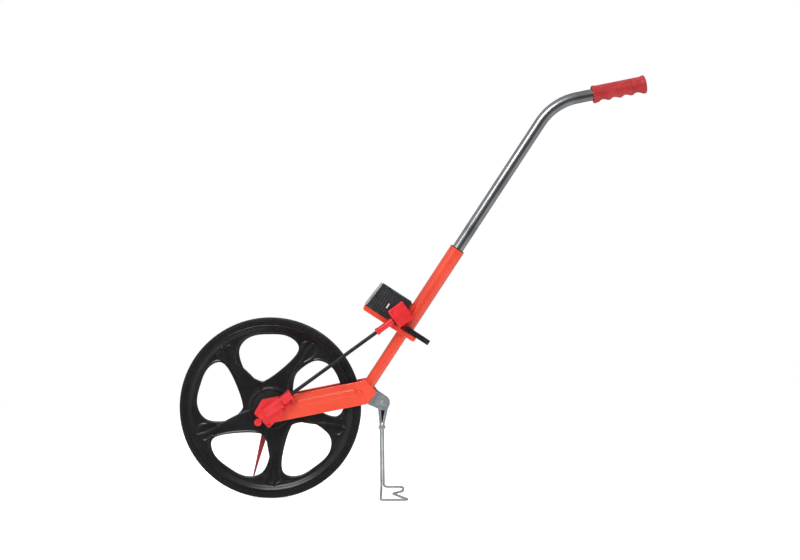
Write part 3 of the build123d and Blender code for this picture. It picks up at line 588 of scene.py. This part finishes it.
def grip_radius(s, up, out):
    """Distance from the grip's axis to its surface, before the scallops are cut."""
    radius = GRIP_RADIUS
    rest = GRIP_LENGTH - s
    length, height = COLLAR
    if s < length:
        radius += height * sqrt(1 - (s / length)**2)
    length, height = FLARE
    if rest < length:
        radius += height * sin(pi / 2 * (1 - rest / length))
    length, height = OUTER_EDGE
    if rest < length:
        radius -= height * (1 - sqrt(max(0.0, 1 - (1 - rest / length)**2)))
    length, height = INNER_EDGE
    if s < length:
        radius -= height * (1 - s / length)**2
    if RIBS[0] < s < RIBS[1] and abs(out) > RIB_SIDE and up > RIB_FOOT:
        fade = min(1.0, (abs(out) - RIB_SIDE) / RIB_FULL)
        fade *= min(1.0, (s - RIBS[0]) / RIB_FADE, (RIBS[1] - s) / RIB_FADE)
        radius -= fade * RIB_DEPTH * (0.5 + 0.5 * cos(2 * pi * s / RIB_STEP))**2
    return radius


def rounded_off(excess):
    """The excess where it is positive, with the turn at zero rounded off."""
    if excess > SCALLOP_BLEND:
        return excess
    return SCALLOP_BLEND * max(0.0, (excess + SCALLOP_BLEND) / (2 * SCALLOP_BLEND))**2


def grip_point(s, angle, tube_end):
    """The grip's surface s from its inner end; angle 0 is its top, 180 degrees its underside."""
    up, out = cos(angle), sin(angle)
    radius = grip_radius(s, up, out)
    height, width = radius * up, radius * out
    for middle in SCALLOPS:
        if abs(s - middle) < SCALLOP_RADIUS:
            floor = sqrt(SCALLOP_RADIUS**2 - (s - middle)**2) - SCALLOP_DROP
            height += rounded_off(floor - height)
    along = s - GRIP_LENGTH + END_WALL
    return tube_end + along * ALONG_HANDLE + height * ABOVE_HANDLE + width * SIDE


def make_grip():
    """A closed vinyl grip: four finger scallops below, fine ribs on its sides, a lip at each end."""
    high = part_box("handle_tube")[1]
    rim_drop = TUBE_RADIUS * Vector((sin(HANDLE_ANGLE), 0, cos(HANDLE_ANGLE)))
    tube_end = Vector((high.x, 0, high.z)) - rim_drop
    rings = [
        circle(tube_end - back * ALONG_HANDLE, BORE_RADIUS, ABOVE_HANDLE, SIDE, GRIP_AROUND)
        for back in (-BORE_GAP, GRIP_LENGTH - END_WALL)
    ]
    angles = [2 * pi * k / GRIP_AROUND for k in range(GRIP_AROUND)]
    for step in range(GRIP_STEPS + 1):
        rings.append([grip_point(GRIP_LENGTH * step / GRIP_STEPS, a, tube_end) for a in angles])
    last = rings[-1]
    middle = sum(last, Vector()) / GRIP_AROUND
    for share in (0.9, 0.6, 0.3):
        rings.append([middle + share * (point - middle) for point in last])
    mesh = mesh_from("hand_grip", *capped(rings))
    dress(new_piece("hand_grip", mesh), "grip_vinyl", "handle", "grip")


# ---- counter ------------------------------------------------------------------------------
DIGIT_SIZE = 5.4 * MM
DIGIT_THICK = 0.12 * MM
DIGIT_LIFT = 0.01 * MM      # clear of the drum's surface
DIGIT_WIDTH = 0.85          # the numerals are drawn in to this share of their width
DIGITS = 10
DRUMS = 5
# The small white slot-shaped mark on the case: its middle, half its straight length and the radius of
# its ends.
MARK_ACROSS = -2.2 * MM
MARK_ALONG = -9.0 * MM
MARK_HALF = 3.4 * MM
MARK_RADIUS = 1.5 * MM
MARK_SIDES = 32
# Its rings, as (depth into the case, growth of the radius).
MARK_RINGS = ((0.35 * MM, 0.0), (-0.30 * MM, 0.0), (-0.42 * MM, -0.25 * MM))


def digit_mesh(number):
    """The outline of one numeral, filled and a little thick, in its own flat frame."""
    curve = bpy.data.curves.new(f"numeral_{number}", "FONT")
    curve.body = str(number)
    curve.size = DIGIT_SIZE
    curve.align_x = "CENTER"
    curve.align_y = "CENTER"
    curve.extrude = DIGIT_THICK / 2
    curve.resolution_u = 6
    holder = new_piece(f"numeral_{number}", curve)
    bpy.context.view_layer.update()
    graph = bpy.context.evaluated_depsgraph_get()
    mesh = bpy.data.meshes.new_from_object(holder.evaluated_get(graph))
    bpy.data.objects.remove(holder)
    return mesh


def make_digits():
    """Ten numerals round each drum. They count up as the wheel rolls forward, towards -X."""
    numerals = [digit_mesh(number) for number in range(DIGITS)]
    for place in range(1, DRUMS + 1):
        low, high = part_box(f"digit_drum_{place}")
        radius = (high.z - low.z) / 2
        middle = DRUM_AXIS + SIDE * (low.y + high.y) / 2
        ring = bmesh.new()
        for number, numeral in enumerate(numerals):
            start = -2 * pi * number / DIGITS
            added = []
            for vertex in numeral.vertices:
                lean = start + vertex.co.y / radius
                out = cos(lean) * ALONG_TUBE - sin(lean) * ACROSS_TUBE
                reach = radius + DIGIT_LIFT + vertex.co.z + DIGIT_THICK / 2
                added.append(ring.verts.new(middle + vertex.co.x * DIGIT_WIDTH * SIDE + reach * out))
            for face in numeral.polygons:
                ring.faces.new([added[k] for k in face.vertices])
        mesh = bpy.data.meshes.new(f"numerals_{place}")
        bmesh.ops.remove_doubles(ring, verts=ring.verts, dist=1e-7)
        ring.to_mesh(mesh)
        ring.free()
        piece = dress(new_piece(f"numerals_{place}", mesh), "digit_ink", f"drum_{place}")
        for face in piece.data.polygons:
            face.use_smooth = False


def counter_point(across, along, y):
    """A point in the counter's frame, measured from the drums' axis."""
    return DRUM_AXIS + across * ACROSS_TUBE + along * ALONG_TUBE + y * SIDE


def make_counter_mark():
    """A small white slot-shaped mark on the case's gear side."""
    case_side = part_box("counter_case")[0].y
    rings = []
    for depth, growth in MARK_RINGS:
        radius = MARK_RADIUS + growth
        ring = []
        for k in range(MARK_SIDES):
            a = 2 * pi * k / MARK_SIDES
            end = MARK_HALF if cos(a) > 0 else -MARK_HALF
            across = MARK_ACROSS + radius * sin(a)
            ring.append(counter_point(across, MARK_ALONG + end + radius * cos(a), case_side + depth))
        rings.append(ring)
    mesh = mesh_from("counter_mark", *capped(rings))
    dress(new_piece("counter_mark", mesh), "drum_white", "frame")


# ---- assembly -----------------------------------------------------------------------------
def finish_cad_nodes():
    """Every CAD node that still shows gets its slot's procedural finish."""
    for node, piece in NODES.items():
        for slot in piece.material_slots:
            slot.material = FINISHES[slot_of(node)]


# The CAD nodes that are softened, each with its voxel in metres and rounds of smoothing.
SOFTENED = {
    "near_arm": (0.7 * MM, 3),
    "far_arm": (0.7 * MM, 3),
    "hub_gearbox": (0.5 * MM, 4),
    "upper_gear_housing": (0.5 * MM, 4),
    "counter_case": (0.6 * MM, 2),
    "counter_plate": (0.6 * MM, 3),
    "counter_saddle": (0.6 * MM, 3),
    "stand_bracket": (0.5 * MM, 2),
    "reset_lever": (0.35 * MM, 2),
    "fork_bridge": (0.8 * MM, 3),
}


def make_pieces():
    soften("wheel", 0.9 * MM, 5, wheel_details())
    make_tyre()
    for node, (voxel, rounds) in SOFTENED.items():
        soften(node, voxel, rounds)
    make_grip()
    make_digits()
    make_counter_mark()


# ---- stage, light and camera --------------------------------------------------------------
STAGE_X = 0.25              # the stage's middle is under the object's
STAGE_SIDES = 96
GROUND = -0.4 * MM
FLOOR_RADII = (0.001, 0.4, 0.9, 1.3, 1.7)
SURROUND_RADII = (1.7, 4.0, 9.0, 30.0)
FLOOR_LIFT = 0.48           # its own glow, which whitens the floor round the soft shadow
FLOOR_FADE = (0.5, 1.5)     # the floor turns plain white between these distances
WHITE = (1.0, 1.0, 1.0, 1.0)
# The studio that lights the object and shows in its gloss: it changes along STUDIO_SLOPE, by
# (place, level) stops from 0 at one end to 1 at the other.
STUDIO_SLOPE = (-0.39, 0, 0.40)
STUDIO_LEVELS = (
    (0.0, 0.60), (0.26, 0.46), (0.37, 0.10), (0.48, 0.06), (0.62, 0.34), (0.78, 0.42), (1.0, 0.50),
)
CAMERA_BACK = 2.2
CAMERA_HEIGHT = 0.50
CAMERA_LENS = 56.7          # millimetres, on a sensor 36 mm wide
AIM_SHIFT = (-0.021, 0.014)     # along X and Z, from the middle of the model's box


def make_disc(name, radii, closed=False):
    """A flat round sheet on the ground, built in rings; closed gives it an underside as well."""
    middle = Vector((STAGE_X, 0, GROUND))
    rings = [circle(middle, radius, Vector((1, 0, 0)), SIDE, STAGE_SIDES) for radius in radii]
    points, faces = capped(rings) if closed else skin(rings)
    return new_piece(name, mesh_from(name, points, faces))


def make_floor():
    """A pale round floor that fades to plain white."""
    floor = make_disc("floor", FLOOR_RADII, closed=True)
    finish = Finish("floor_pale", Roughness=0.9, Specular_IOR_Level=0.1)
    finish.colour(finish.blend(finish.noise(6, 3), (0.88, 0.88, 0.88), (0.91, 0.91, 0.91)))
    finish.shader.inputs["Emission Color"].default_value = WHITE
    finish.shader.inputs["Emission Strength"].default_value = FLOOR_LIFT
    glow = finish.node("ShaderNodeEmission")
    glow.inputs["Color"].default_value = WHITE
    mixer = finish.node("ShaderNodeMixShader")
    away = finish.distance(finish.place, (STAGE_X, 0, 0))
    finish.join(finish.remap(away, *FLOOR_FADE), mixer.inputs["Fac"])
    finish.join(finish.shader.outputs["BSDF"], mixer.inputs[1])
    finish.join(glow.outputs["Emission"], mixer.inputs[2])
    finish.join(mixer.outputs["Shader"], finish.tree.nodes["Material Output"].inputs["Surface"])
    floor.data.materials.append(finish.material)
    floor.visible_glossy = False


def make_surround():
    """A plain white sheet past the floor, which only the camera sees."""
    surround = make_disc("surround", SURROUND_RADII)
    finish = Finish("surround_white")
    emitter = finish.node("ShaderNodeEmission")
    emitter.inputs["Color"].default_value = WHITE
    finish.join(emitter.outputs["Emission"], finish.tree.nodes["Material Output"].inputs["Surface"])
    surround.data.materials.append(finish.material)
    surround.visible_diffuse = False
    surround.visible_glossy = False
    surround.visible_transmission = False


def make_world():
    """Plain white behind the object; for lighting and gloss, a studio with a dark middle."""
    world = bpy.data.worlds.new("studio")
    bpy.context.scene.world = world
    world.use_nodes = True
    nodes, link = world.node_tree.nodes, world.node_tree.links.new
    slope = nodes.new("ShaderNodeVectorMath")
    slope.operation = "DOT_PRODUCT"
    slope.inputs[1].default_value = STUDIO_SLOPE
    link(nodes.new("ShaderNodeTexCoord").outputs["Generated"], slope.inputs[0])
    place = nodes.new("ShaderNodeMapRange")
    place.inputs["From Min"].default_value = -1.0
    link(slope.outputs["Value"], place.inputs["Value"])
    ramp = nodes.new("ShaderNodeValToRGB")
    for stop, _ in STUDIO_LEVELS[1:-1]:
        ramp.color_ramp.elements.new(stop)
    for element, (stop, level) in zip(ramp.color_ramp.elements, STUDIO_LEVELS):
        element.position = stop
        element.color = (level, level, level, 1)
    link(place.outputs["Result"], ramp.inputs["Fac"])
    mixer = nodes.new("ShaderNodeMix")
    mixer.data_type = "RGBA"
    link(nodes.new("ShaderNodeLightPath").outputs["Is Camera Ray"], mixer.inputs["Factor"])
    link(ramp.outputs["Color"], mixer.inputs[6])
    mixer.inputs[7].default_value = WHITE
    link(mixer.outputs[2], nodes["Background"].inputs["Color"])


def make_light(name, place, aim, size, watts, in_gloss=False):
    """A soft rectangular lamp that shows in the object's gloss only if in_gloss is true."""
    light = bpy.data.lights.new(name, "AREA")
    light.shape = "RECTANGLE"
    light.size, light.size_y = size
    light.energy = watts
    lamp = bpy.data.objects.new(name, light)
    bpy.context.scene.collection.objects.link(lamp)
    lamp.visible_glossy = in_gloss
    lamp.location = place
    lamp.rotation_euler = (Vector(aim) - Vector(place)).to_track_quat("-Z", "Y").to_euler()


def make_camera():
    camera = bpy.data.cameras.new("camera")
    camera.lens = CAMERA_LENS
    holder = bpy.data.objects.new("camera", camera)
    bpy.context.scene.collection.objects.link(holder)
    middle = (CAD_BOX[0] + CAD_BOX[1]) / 2
    aim = Vector((middle.x + AIM_SHIFT[0], 0, middle.z + AIM_SHIFT[1]))
    holder.location = Vector((aim.x, -CAMERA_BACK, CAMERA_HEIGHT))
    holder.rotation_euler = (aim - holder.location).to_track_quat("-Z", "Y").to_euler()
    bpy.context.scene.camera = holder


finish_cad_nodes()
make_pieces()
make_floor()
make_surround()
make_world()
make_light("key", (-0.9, -1.6, 1.9), (0.2, 0, 0.3), (0.7, 0.7), 12, in_gloss=True)
make_light("glint", (-0.26, -1.6, 1.94), (0.1, 0, 0.2), (0.45, 0.3), 8, in_gloss=True)
make_light("front", (-0.5, -1.9, 1.5), (0.2, 0, 0.3), (1.4, 1.4), 9)
make_light("fill", (1.8, -1.3, 1.1), (0.25, 0, 0.35), (1.2, 1.6), 8)
make_light("top", (0.3, 0.6, 2.4), (0.25, 0, 0.3), (2.0, 1.2), 22)
make_camera()
bpy.context.scene.view_settings.view_transform = "Standard"
